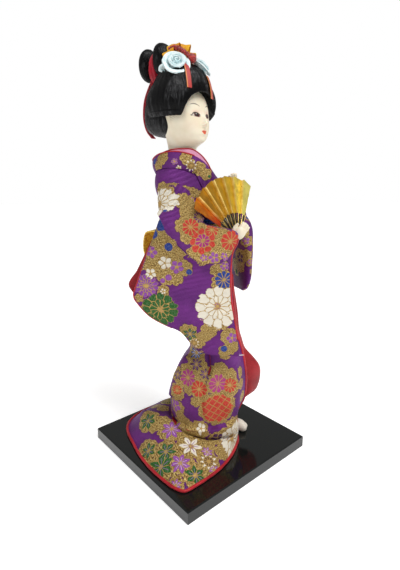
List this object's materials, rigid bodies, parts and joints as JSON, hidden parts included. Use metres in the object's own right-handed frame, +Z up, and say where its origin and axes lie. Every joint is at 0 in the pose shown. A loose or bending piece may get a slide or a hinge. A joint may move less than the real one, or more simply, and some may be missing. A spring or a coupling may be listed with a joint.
{
  "type": "geisha doll",
  "caption": "Standing geisha doll in a trailing brocade kimono on a square lacquered board, with a turning head and a folding fan held in her right hand.",
  "frame": {"origin": "centre of the board's underside", "axes": "+Z up, -Y the way the doll faces, -X her right side, X and Y along the board's edges"},
  "size_m": [0.125, 0.125, 0.3128],
  "materials": {
    "lacquer": "gloss",
    "iron_wire": "satin",
    "brocade": "matte",
    "red_silk": "satin",
    "red_piping": "satin",
    "gold_brocade": "satin",
    "blue_silk": "satin",
    "pink_silk": "satin",
    "skin": "matte",
    "white_cotton": "matte",
    "stuffing": "matte",
    "wood": "matte",
    "hair": "satin",
    "satin": "satin",
    "gold_foil": "satin",
    "brass": "satin"
  },
  "bodies": {
    "figure": {"base_board": "lacquer", "leg_wire_right": "iron_wire", "leg_wire_left": "iron_wire", "foot_right": "white_cotton", "foot_left": "white_cotton", "body_core": "stuffing", "arm_right": "stuffing", "arm_left": "stuffing", "kimono_skirt": "brocade", "hem_piping": "red_piping", "under_kimono": "red_silk", "kimono_bodice": "brocade", "obi": "gold_brocade", "obi_scarf": "blue_silk", "obi_cord": "red_silk", "obi_drum": "gold_brocade", "kimono_collar_right": "brocade", "kimono_collar_left": "brocade", "under_collar_right": "pink_silk", "under_collar_left": "pink_silk", "right_sleeve": "brocade", "left_sleeve": "brocade", "right_sleeve_lining": "red_silk", "fan_rivet": "brass", "right_hand": "skin", "left_hand": "skin", "fan_blade_1": "gold_foil"},
    "head": {"head": "skin", "neck_peg": "wood", "hair_crown": "hair", "hair_wing_right": "hair", "hair_wing_left": "hair", "hair_back": "hair", "bun_front": "hair", "bun_rear": "hair", "bun_cloth": "red_silk", "back_ribbon": "red_silk", "hair_band_right": "red_silk", "hair_band_left": "red_silk", "rose_right": "satin", "rose_left": "satin", "rose_leaf": "satin", "gold_ribbon": "gold_brocade", "crepe_ribbon": "red_silk"},
    "blade_2": {"fan_blade_2": "gold_foil"},
    "blade_3": {"fan_blade_3": "gold_foil"},
    "blade_4": {"fan_blade_4": "gold_foil"},
    "blade_5": {"fan_blade_5": "gold_foil"},
    "blade_6": {"fan_blade_6": "gold_foil"},
    "blade_7": {"fan_blade_7": "gold_foil"}
  },
  "joints": [
    {"name": "head_turn", "type": "hinge", "parent": "figure", "child": "head", "pos_m": [-0.006, 0.0085, 0.2315], "axis": [0, 0, 1], "range_deg": [-20, 20]},
    {"name": "fan_fold_1", "type": "hinge", "parent": "figure", "child": "blade_2", "pos_m": [0.0109, -0.035, 0.1792], "axis": [0.1031, -0.9492, 0.2974], "range_deg": [-12.6, 0]},
    {"name": "fan_fold_2", "type": "hinge", "parent": "blade_2", "child": "blade_3", "pos_m": [0.0109, -0.035, 0.1792], "axis": [0.1031, -0.9492, 0.2974], "range_deg": [-12.6, 0]},
    {"name": "fan_fold_3", "type": "hinge", "parent": "blade_3", "child": "blade_4", "pos_m": [0.0109, -0.035, 0.1792], "axis": [0.1031, -0.9492, 0.2974], "range_deg": [-12.6, 0]},
    {"name": "fan_fold_4", "type": "hinge", "parent": "blade_4", "child": "blade_5", "pos_m": [0.0109, -0.035, 0.1792], "axis": [0.1031, -0.9492, 0.2974], "range_deg": [-12.6, 0]},
    {"name": "fan_fold_5", "type": "hinge", "parent": "blade_5", "child": "blade_6", "pos_m": [0.0109, -0.035, 0.1792], "axis": [0.1031, -0.9492, 0.2974], "range_deg": [-12.6, 0]},
    {"name": "fan_fold_6", "type": "hinge", "parent": "blade_6", "child": "blade_7", "pos_m": [0.0109, -0.035, 0.1792], "axis": [0.1031, -0.9492, 0.2974], "range_deg": [-12.6, 0]}
  ],
  "couplings": [
    {"joint": "fan_fold_2", "follows": "fan_fold_1", "ratio": 1},
    {"joint": "fan_fold_3", "follows": "fan_fold_1", "ratio": 1},
    {"joint": "fan_fold_4", "follows": "fan_fold_1", "ratio": 1},
    {"joint": "fan_fold_5", "follows": "fan_fold_1", "ratio": 1},
    {"joint": "fan_fold_6", "follows": "fan_fold_1", "ratio": 1}
  ]
}
